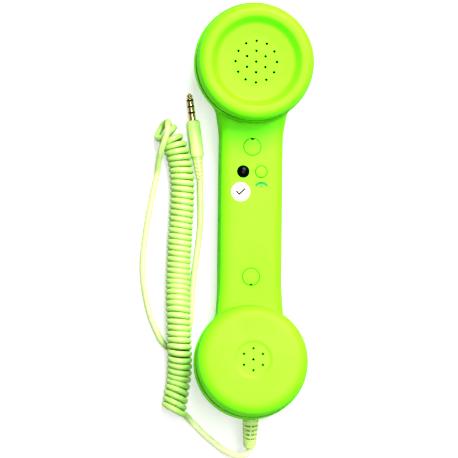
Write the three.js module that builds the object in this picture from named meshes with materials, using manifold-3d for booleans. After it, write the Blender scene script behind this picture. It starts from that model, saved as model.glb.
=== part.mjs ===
// A retro telephone handset on a curly lead, for plugging into a 3.5 mm headset socket.
// It lies on its back: +Z is up out of the speaking side, +Y points to the earpiece,
// and the table is at z = 0. All lengths are in millimetres.
import * as THREE from "three";
import { mergeVertices } from "three/addons/utils/BufferGeometryUtils.js";
import Module from "manifold-3d";

const wasm = await Module();
wasm.setup();

// Driving dimensions of the handset.
const WALL = 2.2;
const GAP = 0.3;
const PARTING_Z = 19;
const GRIP_HALF_WIDTH = 16.2;
const GRIP_FACE_Z = 25;
const NECK_BACK_Z = 10.5;
const REST_CUT = 0.8;
const EAR = { y: 75.6, seamZ: 33.5, tilt: 4, cupRadius: 30.4, capRadius: 29.6, cupDepth: 24.5, neckHalfWidth: 19.4 };
const MOUTH = { y: -76.2, seamZ: 32.5, tilt: -6, cupRadius: 28.8, capRadius: 28.1, cupDepth: 24, neckHalfWidth: 17.6 };
const SCREW_Y = 33.2;
const COVER_RADIUS = 4.3;
const COVER_THICKNESS = 1.6;
const BUTTON_Y = 20.5;
const CALL_X = 4.7;
const MUTE_X = -4.55;
const BUTTON_RADIUS = 2.9;
const BUTTON_TRAVEL = 0.5;
const RELIEF = { x: 1.2, y: -105.2, z: 19, droop: 22, length: 16.5 };

// Driving dimensions of the cord and its plug.
const WIRE_RADIUS = 1.6;
const COIL_RADIUS = 6.5;
const PIN_RADIUS = 1.75;
const PLUG_BODY_RADIUS = 3.6;
const PLUG = { x: -31.3, y: 61.9, lean: 8 };

const finish = (color, roughness, metalness = 0) => ({ color, roughness, metalness });
const LIME = finish(0xc8f53c, 0.45);
const PALE_LIME = finish(0xe4f5a8, 0.5);
const BLACK = finish(0x111111, 0.25);
const GREY = finish(0x55585c, 0.6);
const BOARD_GREEN = finish(0x1c6b3a, 0.5);
const STEEL = finish(0xb8bcc0, 0.35, 1);
const GOLD = finish(0xd9b56a, 0.25, 1);
const RUBBER = finish(0x2a2a2a, 0.8);
const CLOTH = finish(0x202020, 0.9);
const PAPER = finish(0xf4f4f0, 0.6);

const root = new THREE.Group();

// --- Turning geometries into solids and back ---

function solid(geometry) {
  const bare = geometry.index ? geometry.toNonIndexed() : geometry.clone();
  bare.deleteAttribute("normal");
  bare.deleteAttribute("uv");
  const merged = mergeVertices(bare, 1e-4);
  const mesh = new wasm.Mesh({
    numProp: 3,
    vertProperties: new Float32Array(merged.attributes.position.array),
    triVerts: new Uint32Array(merged.index.array),
  });
  return new wasm.Manifold(mesh);
}

function geometryOf(manifold) {
  const mesh = manifold.getMesh();
  const geometry = new THREE.BufferGeometry();
  geometry.setAttribute("position", new THREE.BufferAttribute(mesh.vertProperties, 3));
  geometry.setIndex(new THREE.BufferAttribute(mesh.triVerts, 1));
  geometry.computeVertexNormals();
  return geometry;
}

function add(parent, name, shape, look) {
  const geometry = shape.isBufferGeometry ? shape : geometryOf(shape);
  const mesh = new THREE.Mesh(geometry, new THREE.MeshStandardMaterial(look));
  mesh.name = name;
  parent.add(mesh);
  return mesh;
}

const join = (first, ...rest) => rest.reduce((sum, part) => sum.add(part), first);
const cut = (first, ...rest) => rest.reduce((left, part) => left.subtract(part), first);

// --- Plain shapes ---

// A body of revolution about Z through (radius, height) pairs, closed on the axis or on itself.
function turned(pairs, segments = 32) {
  const geometry = new THREE.LatheGeometry(pairs.map(([r, z]) => new THREE.Vector2(r, z)), segments);
  return geometry.rotateX(Math.PI / 2);
}

// An upright round bar between two heights.
function bar(radius, low, high, x = 0, y = 0, segments = 20) {
  const geometry = new THREE.CylinderGeometry(radius, radius, high - low, segments);
  return geometry.rotateX(Math.PI / 2).translate(x, y, (low + high) / 2);
}

function block(low, high) {
  const size = new THREE.Vector3().subVectors(high, low);
  const middle = new THREE.Vector3().addVectors(low, high).multiplyScalar(0.5);
  return new THREE.BoxGeometry(size.x, size.y, size.z).translate(middle.x, middle.y, middle.z);
}

const corner = (x, y, z) => new THREE.Vector3(x, y, z);

// A closed skin over rings of points, with a fan at each end.
function lofted(rings) {
  const count = rings[0].length;
  const points = rings.flat();
  const index = [];
  for (let i = 0; i < rings.length - 1; i += 1) {
    for (let j = 0; j < count; j += 1) {
      const a = i * count + j;
      const b = i * count + ((j + 1) % count);
      index.push(a, b, b + count, a, b + count, a + count);
    }
  }
  for (const [ring, start, turn] of [[rings[0], 0, false], [rings.at(-1), points.length - count, true]]) {
    const centre = ring.reduce((sum, p) => sum.add(p), corner(0, 0, 0)).divideScalar(count);
    const apex = points.push(centre) - 1;
    for (let j = 0; j < count; j += 1) {
      const a = start + j;
      const b = start + ((j + 1) % count);
      index.push(...(turn ? [a, b, apex] : [b, a, apex]));
    }
  }
  const geometry = new THREE.BufferGeometry().setFromPoints(points);
  geometry.setIndex(index);
  return geometry;
}

// A round tube of flat facets along a smooth curve through the points.
function tube(points, radius, steps, sides = 8) {
  const path = new THREE.CatmullRomCurve3(points, false, "centripetal");
  const section = new THREE.Shape();
  for (let i = 0; i < sides; i += 1) {
    const angle = (2 * Math.PI * (i + 0.5)) / sides;
    const [x, y] = [radius * Math.cos(angle), radius * Math.sin(angle)];
    if (i === 0) section.moveTo(x, y);
    else section.lineTo(x, y);
  }
  section.closePath();
  return new THREE.ExtrudeGeometry(section, { steps, extrudePath: path, curveSegments: 1 });
}

// --- The hollow handset body ---

const smooth = (t) => t * t * (3 - 2 * t);
const ramp = (value, from, to) => smooth(THREE.MathUtils.clamp((value - from) / (to - from), 0, 1));

// One rounded cross-section of the grip. The back is cut flat where the handset rests.
function gripRing(y, inset) {
  const reach = Math.abs(y);
  const { neckHalfWidth } = y > 0 ? EAR : MOUTH;
  const halfWidth = THREE.MathUtils.lerp(GRIP_HALF_WIDTH, neckHalfWidth, ramp(reach, 36, 62)) - inset;
  const face = GRIP_FACE_Z - inset;
  const back = THREE.MathUtils.lerp(-REST_CUT, NECK_BACK_Z, ramp(reach, 26, 66)) + inset;
  const waist = THREE.MathUtils.lerp(back, face, 0.5);
  const ring = [];
  const sides = 24;
  for (let i = 0; i < sides; i += 1) {
    const angle = (2 * Math.PI * (i + 0.5)) / sides;
    const [c, s] = [Math.cos(angle), Math.sin(angle)];
    const squareness = s > 0 ? 6 : 3.2;
    const x = halfWidth * Math.sign(c) * Math.abs(c) ** (2 / squareness);
    const height = s > 0 ? face - waist : waist - back;
    const z = waist + height * Math.sign(s) * Math.abs(s) ** (2 / squareness);
    ring.push(corner(-x, y, Math.max(z, inset)));
  }
  return ring;
}

function gripSolid(inset) {
  const rings = [];
  for (let y = MOUTH.y + 8; y <= EAR.y - 8; y += 6) rings.push(gripRing(y, inset));
  return solid(lofted(rings));
}

// A cup's bowl, in its own frame: the seam with its cap is at height 0 and the bowl hangs below it.
function cupSolid(cup, inset) {
  const radius = cup.cupRadius - inset;
  const depth = cup.cupDepth - inset;
  const rim = inset > 0 ? 3 : 0;
  const profile = [[0, rim], [radius - 0.6, rim], [radius, rim - 1]];
  const straight = 0.36;
  const arcs = 6;
  for (let i = 0; i <= arcs; i += 1) {
    const angle = (Math.PI / 2) * (i / arcs);
    const down = straight + (1 - straight) * Math.sin(angle);
    const out = Math.cos(angle) ** 0.62;
    profile.push([i === arcs ? 0 : radius * out, -depth * down]);
  }
  const placed = turned(profile.reverse(), 32);
  placed.rotateX(THREE.MathUtils.degToRad(cup.tilt));
  return solid(placed.translate(0, cup.y, cup.seamZ));
}

const bodySolid = (inset) => join(gripSolid(inset), cupSolid(EAR, inset), cupSolid(MOUTH, inset));

const halfSpace = (low, high) => solid(block(corner(-60, -140, low), corner(60, 140, high)));

const SHELL = cut(bodySolid(0), bodySolid(WALL));

// The hole for the strain relief, tilted as the relief is.
function reliefHole() {
  const hole = bar(3.8, -8, 8);
  hole.rotateX(THREE.MathUtils.degToRad(90 + RELIEF.droop));
  return solid(hole.translate(RELIEF.x, RELIEF.y, RELIEF.z));
}

const POCKET = { radius: 5.8, floorZ: 17, seatZ: 18.6 };
const POST_SPOTS = [[-10.5, 10.5], [10.5, 10.5]];
const POST_FOOT_Z = 18.3;

function frontShell() {
  let shell = SHELL.intersect(halfSpace(PARTING_Z + GAP / 2, 60));
  for (const y of [-SCREW_Y, SCREW_Y]) {
    shell = shell.add(solid(bar(POCKET.radius, POCKET.floorZ, GRIP_FACE_Z - 1, 0, y)));
    shell = cut(
      shell,
      solid(bar(COVER_RADIUS + 0.25, POCKET.seatZ, GRIP_FACE_Z + 5, 0, y, 32)),
      solid(bar(1.8, POCKET.floorZ - 1, POCKET.seatZ + 1, 0, y)),
    );
  }
  for (const x of [CALL_X, MUTE_X]) {
    shell = shell.subtract(solid(bar(BUTTON_RADIUS + 0.25, 20, GRIP_FACE_Z + 5, x, BUTTON_Y, 24)));
  }
  for (const [x, y] of POST_SPOTS) {
    shell = shell.add(solid(bar(2, POST_FOOT_Z, GRIP_FACE_Z - 1, x, y, 12)));
    shell = shell.subtract(solid(bar(0.9, POST_FOOT_Z - 1, GRIP_FACE_Z - 2.8, x, y, 12)));
  }
  return shell.subtract(reliefHole());
}

const BOSS_TOP_Z = POCKET.floorZ - GAP;

function rearShell() {
  let shell = SHELL.intersect(halfSpace(-5, PARTING_Z - GAP / 2));
  for (const y of [-SCREW_Y, SCREW_Y]) {
    shell = shell.add(solid(bar(3.4, 1, BOSS_TOP_Z, 0, y)));
    shell = shell.subtract(solid(bar(1.6, 4, BOSS_TOP_Z + 1, 0, y)));
  }
  return shell.subtract(reliefHole());
}

add(root, "front_shell", frontShell(), LIME);
add(root, "rear_shell", rearShell(), LIME);

// --- Screws that hold the two shells together, and the covers over them ---

function panHeadScrew(headRadius, headHeight, shankRadius, shankLength) {
  return turned([
    [0, -shankLength],
    [shankRadius * 0.5, -shankLength],
    [shankRadius, -shankLength + 1],
    [shankRadius, 0],
    [headRadius, 0],
    [headRadius, headHeight * 0.5],
    [headRadius * 0.6, headHeight],
    [0, headHeight],
  ], 16);
}

function screwCover(notchSide) {
  const top = GRIP_FACE_Z + 0.1;
  const disc = solid(bar(COVER_RADIUS, top - COVER_THICKNESS, top, 0, 0, 32));
  const notch = block(corner(-0.8, COVER_RADIUS - 0.7, top - 0.9), corner(0.8, COVER_RADIUS + 1, top + 1));
  if (notchSide < 0) notch.rotateZ(Math.PI);
  return disc.subtract(solid(notch));
}

for (const [label, side] of [["upper", 1], ["lower", -1]]) {
  const screw = panHeadScrew(2.8, 2, 1.35, 11.5);
  add(root, `${label}_screw`, screw.translate(0, side * SCREW_Y, POCKET.seatZ + GAP), STEEL);
  add(root, `${label}_screw_cover`, screwCover(side).translate([0, side * SCREW_Y, 0]), LIME);
}

// --- Earpiece: everything here is in the ear cup's own tilted frame ---

function cupFrame(cup) {
  const frame = new THREE.Group();
  frame.position.set(0, cup.y, cup.seamZ);
  frame.rotation.x = THREE.MathUtils.degToRad(cup.tilt);
  root.add(frame);
  return frame;
}

// Radius and height pairs of a full, rounded shoulder, from its outer foot to its inner top.
function shoulder(outer, foot, inner, top, steps = 5) {
  const pairs = [];
  for (let i = 0; i <= steps; i += 1) {
    const angle = (Math.PI / 2) * (i / steps);
    const [out, up] = [Math.cos(angle) ** 0.75, Math.sin(angle) ** 0.75];
    pairs.push([inner + (outer - inner) * (i === steps ? 0 : out), foot + (top - foot) * up]);
  }
  return pairs;
}

const EAR_CAP = { height: 12.8, crest: 25, dishEdge: 22.9, dishRadius: 20, dishDepth: 3.4, wall: 2 };
const MOUTH_CAP = { height: 11.6, flat: 20.5, recess: 9.1, recessDepth: 0.7, wall: 2 };
const HOLE_RADIUS = 0.65;

function drill(capSolid, spots, foot = -1) {
  const holes = spots.map(([x, y]) => solid(bar(HOLE_RADIUS, foot, 20, x, y, 6)));
  return cut(capSolid, ...holes);
}

function ringOfSpots(count, radius) {
  const spots = [];
  for (let i = 0; i < count; i += 1) {
    const angle = Math.PI / 2 + (2 * Math.PI * i) / count;
    spots.push([radius * Math.cos(angle), radius * Math.sin(angle)]);
  }
  return spots;
}

function earCap() {
  const { height, crest, dishEdge, dishRadius, dishDepth, wall } = EAR_CAP;
  const floor = height - dishDepth;
  const outside = [
    [EAR.capRadius - 0.3, GAP],
    ...shoulder(EAR.capRadius, 4.5, crest, height),
    [dishEdge, height - 0.5],
    [dishRadius, floor],
    [0, floor - 0.5],
  ];
  const inside = [
    [0, floor - 0.5 - wall],
    [dishRadius - 0.5, floor - wall],
    [dishEdge + 1, height - wall - 1],
    [EAR.capRadius - wall - 1.5, 7.5],
    [EAR.capRadius - wall, 4.5],
    [EAR.capRadius - wall - 0.3, GAP],
  ];
  const cap = solid(turned([...inside, ...outside], 32));
  return drill(cap, [[0, 0], ...ringOfSpots(6, 5.4), ...ringOfSpots(12, 10.5)]);
}

function mouthCap() {
  const { height, flat, recess, recessDepth, wall } = MOUTH_CAP;
  const outside = [
    [MOUTH.capRadius - 0.3, GAP],
    ...shoulder(MOUTH.capRadius, 4.5, flat, height),
    [recess, height + 0.3],
    [recess - 0.6, height + 0.3 - recessDepth],
    [0, height + 0.4 - recessDepth],
  ];
  const inside = [
    [0, height - recessDepth - wall],
    [flat - 2, height - recessDepth - wall],
    [MOUTH.capRadius - wall - 1, 7],
    [MOUTH.capRadius - wall, 4.5],
    [MOUTH.capRadius - wall - 0.3, GAP],
  ];
  const cap = solid(turned([...inside, ...outside], 32));
  const dimpleFoot = height + 0.4 - recessDepth - 0.9;
  return drill(drill(cap, [[0, 0]]), ringOfSpots(6, 5.5), dimpleFoot);
}

function speakerBasket() {
  return turned([
    [10, -6],
    [16, -2.2],
    [18.5, -2.2],
    [18.5, 0.8],
    [17.2, 0.8],
    [17.2, -1],
    [15.5, -1],
    [9.4, -4.8],
    [9.4, -6],
    [10, -6],
  ], 32);
}

function speakerCone() {
  return turned([
    [0, -1.8],
    [5, -3.2],
    [14.6, -0.2],
    [16.8, -0.2],
    [16.8, 0.4],
    [14.4, 0.4],
    [5, -2.5],
    [0, -1.1],
  ], 32);
}

const flatRing = (inner, outer, low, high, segments = 32) =>
  turned([[inner, low], [outer, low], [outer, high], [inner, high], [inner, low]], segments);

const ear = cupFrame(EAR);
add(ear, "ear_cap", earCap(), LIME);
add(ear, "ear_dust_cloth", bar(16, 5.9, 6.3, 0, 0, 32), CLOTH);
add(ear, "speaker_gasket", flatRing(16.2, 18.4, 1.2, 5.6), RUBBER);
add(ear, "speaker_cone", speakerCone(), GREY);
add(ear, "speaker_basket", speakerBasket(), STEEL);
add(ear, "speaker_magnet", bar(8.8, -9, -4.2, 0, 0, 28), STEEL);

// --- Mouthpiece, in the mouth cup's own tilted frame ---

const mouth = cupFrame(MOUTH);
add(mouth, "mouth_cap", mouthCap(), LIME);
add(mouth, "mouth_dust_cloth", bar(7.5, 8.1, 8.5, 0, 0, 24), CLOTH);
add(mouth, "microphone_boot", flatRing(3.3, 5.2, 2.6, 7.8, 24), RUBBER);
add(mouth, "microphone", bar(3, 3.4, 7.2, 0, 0, 24), STEEL);

// --- Buttons, their switches and the board under the grip's face ---

const BOARD = { top: 17.9, thickness: 1.2 };
const SWITCH = { side: 5.8, top: BOARD.top + 2.8, well: 1.9 };
const PLUNGER = { radius: 1.6, low: SWITCH.top - 0.5, high: SWITCH.top + 0.9 };
const WELL_FLOOR_Z = PLUNGER.low - BUTTON_TRAVEL - GAP;

function buttonBoard() {
  const low = BOARD.top - BOARD.thickness;
  let board = solid(block(corner(-12.5, 8, low), corner(12.5, 26.5, BOARD.top)));
  for (const [x, y] of POST_SPOTS) {
    board = board.subtract(solid(bar(1.1, low - 1, BOARD.top + 1, x, y, 12)));
  }
  return board;
}

function switchBody(x) {
  const half = SWITCH.side / 2;
  const foot = BOARD.top + 0.1;
  const low = corner(x - half, BUTTON_Y - half, foot);
  const high = corner(x + half, BUTTON_Y + half, SWITCH.top);
  return solid(block(low, high)).subtract(solid(bar(SWITCH.well, WELL_FLOOR_Z, SWITCH.top + 1, x, BUTTON_Y)));
}

// A domed key with a flange that stops it from coming out through the face.
function button(x, dome) {
  const foot = PLUNGER.high + 0.05;
  const flangeTop = GRIP_FACE_Z - WALL - GAP;
  const key = turned([
    [0, foot],
    [3.9, foot],
    [3.9, flangeTop],
    [BUTTON_RADIUS, flangeTop],
    [BUTTON_RADIUS, GRIP_FACE_Z + 0.1],
    [BUTTON_RADIUS - 0.5, GRIP_FACE_Z + 0.1 + dome * 0.6],
    [BUTTON_RADIUS * 0.5, GRIP_FACE_Z + 0.1 + dome * 0.9],
    [0, GRIP_FACE_Z + 0.1 + dome],
  ], 24);
  return key.translate(x, BUTTON_Y, 0);
}

add(root, "button_board", buttonBoard(), BOARD_GREEN);
for (const [label, x, dome, look] of [["call", CALL_X, 0.5, LIME], ["mute", MUTE_X, 1.2, BLACK]]) {
  add(root, `${label}_switch`, switchBody(x), BLACK);
  add(root, `${label}_switch_plunger`, bar(PLUNGER.radius, PLUNGER.low, PLUNGER.high, x, BUTTON_Y), GREY);
  add(root, `${label}_button`, button(x, dome), look);
}
for (const [label, [x, y]] of [["left", POST_SPOTS[0]], ["right", POST_SPOTS[1]]]) {
  const screw = panHeadScrew(1.7, 1, 0.75, 4.6).rotateX(Math.PI);
  add(root, `board_screw_${label}`, screw.translate(x, y, BOARD.top - BOARD.thickness - 0.1), STEEL);
}

add(root, "check_sticker", bar(4.85, GRIP_FACE_Z + 0.05, GRIP_FACE_Z + 0.25, -5.75, 10.1, 32), PAPER);

// --- Weight and inner wiring ---

add(root, "weight_bar", block(corner(-7, -26, 3), corner(7, 24, 9)), STEEL);

const INNER_WIRE_RADIUS = 0.9;
const speakerWire = [
  corner(9, 24, 15.3),
  corner(9.6, 27, 12.5),
  corner(10, 34, 10.5),
  corner(9.5, 44, 11),
  corner(7, 55, 13),
  corner(4, 64, 16),
  corner(2.5, 70, 19.5),
  corner(2, 73, 23),
];
const microphoneWire = [
  corner(-10.5, 6.5, 17),
  corner(-10.5, 2, 16),
  corner(-10.5, -20, 15),
  corner(-10.5, -40, 15),
  corner(-8, -55, 19),
  corner(-3, -68, 28),
  corner(-1, -74, 33),
];
const cordTail = [
  corner(1.2, -98.2, 21.8),
  corner(1.2, -92.6, 24.1),
  corner(2.2, -86, 24.4),
  corner(5, -74, 19),
  corner(8, -62, 16),
  corner(9.5, -50, 12),
  corner(10.5, -30, 12),
  corner(10.5, -5, 13),
  corner(10, 6.5, 14.6),
];
add(root, "speaker_wire", tube(speakerWire, INNER_WIRE_RADIUS, 20), RUBBER);
add(root, "microphone_wire", tube(microphoneWire, INNER_WIRE_RADIUS, 20), RUBBER);
add(root, "cord_tail", tube(cordTail, WIRE_RADIUS, 28), PALE_LIME);

// --- Strain relief at the mouth end, and the crimp that keeps the cord in ---

const relief = new THREE.Group();
relief.position.set(RELIEF.x, RELIEF.y, RELIEF.z);
relief.rotation.x = THREE.MathUtils.degToRad(90 + RELIEF.droop);
root.add(relief);

const RELIEF_FLANGE = { radius: 4.4, top: -5.7, foot: -7.2 };
add(relief, "strain_relief", turned([
  [0, RELIEF_FLANGE.foot],
  [RELIEF_FLANGE.radius, RELIEF_FLANGE.foot],
  [RELIEF_FLANGE.radius, RELIEF_FLANGE.top],
  [3.5, RELIEF_FLANGE.top],
  [3.5, 1],
  [4.1, 1],
  [4, 4],
  [3.05, RELIEF.length - 0.8],
  [2.3, RELIEF.length],
  [0, RELIEF.length],
], 20), PALE_LIME);
add(relief, "cord_crimp", flatRing(2, 3.2, -12, -8.5, 16), STEEL);

// --- The free cord: a lead to the coil, the coil's envelope, and a lead to the plug ---

const handsetLead = [
  corner(1.2, -120.8, 12.7),
  corner(1, -122.6, 11.8),
  corner(-0.8, -124.3, 10.5),
  corner(-3.9, -125, 8.6),
  corner(-8.2, -123.9, 5.8),
  corner(-12.2, -121.8, 3.3),
  corner(-16.2, -118.9, 1.9),
  corner(-20.6, -115.2, 1.7),
  corner(-24.6, -111.4, 2),
  corner(-27.6, -108.4, 3),
  corner(-29.9, -106, 4.6),
];
const coilAxis = [
  corner(-37.6, -101.8, 6.7),
  corner(-36.6, -95, 6.7),
  corner(-35.3, -86.6, 6.7),
  corner(-34.9, -79.5, 8.1),
  corner(-35.1, -72, 9.9),
  corner(-35.6, -63, 10.1),
  corner(-35.9, -54, 9.9),
  corner(-36.1, -45, 8.3),
  corner(-36.1, -37, 6.9),
  corner(-35.9, -26, 6.7),
  corner(-35.4, -14, 6.7),
  corner(-34.8, -2, 6.7),
  corner(-34.4, 9, 6.7),
  corner(-34.8, 19, 6.7),
  corner(-36.5, 28, 6.7),
  corner(-39, 35, 6.7),
  corner(-41.2, 38.6, 6.7),
];
const plugLead = [
  corner(-40.2, 43.4, 2),
  corner(-43.2, 41.6, 2.6),
  corner(-46.6, 40.2, 6),
  corner(-47, 41.8, 10),
  corner(-44, 45.2, 12),
  corner(-40.8, 48, 10),
  corner(-39.4, 49, 6.4),
  corner(-41.4, 48.6, 2.8),
  corner(-45.4, 46.4, 2.6),
  corner(-48.4, 44.8, 6),
  corner(-47.6, 46, 10.4),
  corner(-44.4, 46.4, 13.4),
  corner(-42.9, 42.4, 15.2),
  corner(-44.3, 36.6, 14.1),
  corner(-46.2, 30.6, 10.4),
  corner(-46.4, 25, 5),
  corner(-47.5, 19, 2.1),
  corner(-49.3, 10.4, 1.7),
  corner(-50.9, 1.5, 1.7),
  corner(-52.2, -6.5, 1.7),
  corner(-53.3, -15, 1.7),
  corner(-54.1, -24, 1.7),
  corner(-53.9, -33.5, 1.7),
  corner(-52.7, -41.5, 1.7),
  corner(-51.2, -49, 1.7),
  corner(-49.2, -55.5, 1.7),
  corner(-46.6, -61.5, 1.7),
  corner(-43.6, -67, 1.7),
  corner(-39.4, -70.4, 1.7),
  corner(-34.6, -69.6, 1.7),
  corner(-31.2, -64.8, 1.7),
  corner(-29.4, -57, 1.7),
  corner(-28.6, -47, 1.7),
  corner(-28, -37, 1.7),
  corner(-27, -27, 1.7),
  corner(-25.7, -17, 1.7),
  corner(-24.7, -7, 1.7),
  corner(-24.6, 2, 2),
  corner(-24.9, 10, 3),
  corner(-25.05, 17.4, 3.8),
];
add(root, "cord_lead_handset", tube(handsetLead, WIRE_RADIUS, 14), PALE_LIME);
add(root, "cord_coil", tube(coilAxis, COIL_RADIUS, 24, 12), PALE_LIME);
add(root, "cord_lead_plug", tube(plugLead, WIRE_RADIUS, 64), PALE_LIME);

// --- The 3.5 mm four-pole plug, in its own frame: the tip's point at 0, the cord end below ---

const plug = new THREE.Group();
plug.position.set(PLUG.x, PLUG.y, PLUG_BODY_RADIUS + 0.2);
plug.rotation.set(-Math.PI / 2, 0, THREE.MathUtils.degToRad(PLUG.lean), "ZXY");
root.add(plug);

const JOINT = 0.1;
const pole = (radius, top, bottom) => bar(radius, -bottom, -top, 0, 0, 20);
add(plug, "plug_tip", turned([
  [0, -3.2],
  [PIN_RADIUS, -3.2],
  [PIN_RADIUS, -2.6],
  [1.15, -2.2],
  [PIN_RADIUS - 0.05, -1.5],
  [0.9, -0.35],
  [0, 0],
], 20), GOLD);
add(plug, "plug_tip_band", pole(PIN_RADIUS - 0.03, 3.2 + JOINT, 3.9), BLACK);
add(plug, "plug_first_ring", pole(PIN_RADIUS, 3.9 + JOINT, 6.4), GOLD);
add(plug, "plug_first_band", pole(PIN_RADIUS - 0.03, 6.4 + JOINT, 7.1), BLACK);
add(plug, "plug_second_ring", pole(PIN_RADIUS, 7.1 + JOINT, 9.6), GOLD);
add(plug, "plug_second_band", pole(PIN_RADIUS - 0.03, 9.6 + JOINT, 10.3), BLACK);
add(plug, "plug_sleeve", pole(PIN_RADIUS, 10.3 + JOINT, 14), GOLD);
add(plug, "plug_body", turned([
  [0, -33.5],
  [PLUG_BODY_RADIUS - 0.6, -33.5],
  [PLUG_BODY_RADIUS, -32.5],
  [PLUG_BODY_RADIUS, -16],
  [PLUG_BODY_RADIUS - 0.7, -14 - JOINT],
  [0, -14 - JOINT],
], 24), PALE_LIME);
add(plug, "plug_strain_relief", turned([
  [0, -44.6],
  [1.8, -44.6],
  [2.5, -33.5 - JOINT],
  [0, -33.5 - JOINT],
], 20), PALE_LIME);

export default root;
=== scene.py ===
import math
import bmesh
import bpy
import numpy as np
from mathutils import Matrix, Vector


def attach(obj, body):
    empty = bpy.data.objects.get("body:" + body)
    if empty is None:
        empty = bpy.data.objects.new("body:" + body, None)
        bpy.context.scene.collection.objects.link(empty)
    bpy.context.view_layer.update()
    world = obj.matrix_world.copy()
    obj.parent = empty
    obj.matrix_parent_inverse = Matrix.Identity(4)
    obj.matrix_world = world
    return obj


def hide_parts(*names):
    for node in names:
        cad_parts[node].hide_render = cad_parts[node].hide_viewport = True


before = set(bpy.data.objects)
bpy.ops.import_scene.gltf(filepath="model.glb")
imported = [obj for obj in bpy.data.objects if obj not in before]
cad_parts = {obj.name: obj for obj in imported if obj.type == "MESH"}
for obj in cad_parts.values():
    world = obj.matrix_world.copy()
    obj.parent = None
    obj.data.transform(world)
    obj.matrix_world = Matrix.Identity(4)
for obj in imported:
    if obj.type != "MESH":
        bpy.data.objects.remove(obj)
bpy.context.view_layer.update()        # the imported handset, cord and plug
print("frame loaded:", len(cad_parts), "nodes")

mm = 0.001

# Shared sizes of the handset, in millimetres, as the frame has them.
handset = {
    "wall": 2.0,
    "gap": 0.3,
    "partingZ": 19.0,
    "gripHalfWidth": 16.2,
    "gripFaceZ": 25.0,
    "neckBackZ": 10.5,
    "restCut": 0.8,
    "screwY": 33.2,
    "buttonY": 20.5,
}
earCup = {
    "y": 75.6, "seamZ": 33.5, "tilt": 4.0, "cupRadius": 30.4, "capRadius": 29.6, "depth": 24.5,
    "neckHalfWidth": 19.4,
}
mouthCup = {
    "y": -76.2, "seamZ": 32.5, "tilt": -6.0, "cupRadius": 28.8, "capRadius": 28.1, "depth": 24.0,
    "neckHalfWidth": 17.6,
}


# camera, first, because the cord is judged against its view

cameraView = {
    "target": (-9.5, -7.9, 0.0),    # the table point in the middle of the view
    "distance": 1250.0,
    "fromLeft": 4.57,               # degrees off the vertical
    "fromBelow": 2.5,
    "millimetresAcross": 238.2,     # of table, at the target
    "sensor": 36.0,
    "roll": 0.63,
}


def makeCamera():
    data = bpy.data.cameras.new("camera")
    data.sensor_width = cameraView["sensor"]
    data.lens = cameraView["sensor"] * cameraView["distance"] / cameraView["millimetresAcross"]
    data.clip_start, data.clip_end = 0.05, 20.0
    camera = bpy.data.objects.new("camera", data)
    bpy.context.scene.collection.objects.link(camera)
    target = Vector(cameraView["target"]) * mm
    lean = Vector((
        -math.tan(math.radians(cameraView["fromLeft"])),
        -math.tan(math.radians(cameraView["fromBelow"])),
        1.0,
    )).normalized()
    right = Vector((0.0, 1.0, 0.0)).cross(lean).normalized()
    turn = Matrix((right, lean.cross(right), lean)).transposed()
    roll = Matrix.Rotation(math.radians(cameraView["roll"]), 4, "Z")
    camera.matrix_world = Matrix.Translation(target + lean * cameraView["distance"] * mm) @ turn.to_4x4() @ roll
    bpy.context.scene.camera = camera


makeCamera()
print("camera placed")


# small tools

def newObject(name, mesh):
    piece = bpy.data.objects.new(name, mesh)
    bpy.context.scene.collection.objects.link(piece)
    return piece


def meshPiece(name, points, faces, smooth=True):
    mesh = bpy.data.meshes.new(name)
    mesh.from_pydata([tuple(p) for p in points], [], faces)
    mesh.validate()
    if smooth:
        mesh.shade_smooth()
    return newObject(name, mesh)


def flatten(piece):
    # the piece with its modifiers turned into plain mesh
    graph = bpy.context.evaluated_depsgraph_get()
    graph.update()
    made = bpy.data.meshes.new_from_object(piece.evaluated_get(graph))
    piece.modifiers.clear()
    old = piece.data
    piece.data = made
    bpy.data.meshes.remove(old)
    made.name = piece.name
    return piece


def dress(piece, material, body, slotName, *replaced):
    piece.data.materials.clear()
    piece.data.materials.append(material)
    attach(piece, body)
    if replaced:
        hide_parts(*replaced)
    return piece


def markSharp(mesh, degrees):
    mesh.shade_smooth()
    mesh.set_sharp_from_angle(angle=math.radians(degrees))


def addNode(tree, kind, sources, **settings):
    # a node, each of its inputs given a value or linked to another node's output
    node = tree.nodes.new(kind)
    for name, value in settings.items():
        setattr(node, name, value)
    for name, source in sources.items():
        if isinstance(source, bpy.types.NodeSocket):
            tree.links.new(source, node.inputs[name])
        else:
            node.inputs[name].default_value = source
    return node


def cupMatrix(cup):
    turn = Matrix.Rotation(math.radians(cup["tilt"]), 4, "X")
    return Matrix.Translation((0.0, cup["y"] * mm, cup["seamZ"] * mm)) @ turn


def rounded(corners, steps=5):
    # an outline from (radius, height, rounding) corners, each corner turned into an arc
    outline = []
    last = len(corners) - 1
    for i, (r, z, fillet) in enumerate(corners):
        here = np.array([r, z], dtype=float)
        if fillet <= 0 or i in (0, last):
            outline.append(here)
            continue
        before = np.array(corners[i - 1][:2], dtype=float) - here
        after = np.array(corners[i + 1][:2], dtype=float) - here
        lengths = np.linalg.norm(before), np.linalg.norm(after)
        before, after = before / lengths[0], after / lengths[1]
        half = math.acos(np.clip(before @ after, -1, 1)) / 2
        reach = min(fillet / math.tan(half), 0.49 * min(lengths))
        fillet = reach * math.tan(half)
        middle = (before + after) / np.linalg.norm(before + after)
        centre = here + middle * fillet / math.sin(half)
        start, end = here + before * reach - centre, here + after * reach - centre
        sweep = math.pi - 2 * half
        side = np.sign(start[0] * end[1] - start[1] * end[0])
        for k in range(steps + 1):
            angle = side * sweep * k / steps
            c, s = math.cos(angle), math.sin(angle)
            outline.append(centre + np.array([c * start[0] - s * start[1], s * start[0] + c * start[1]]))
    return outline


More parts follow.
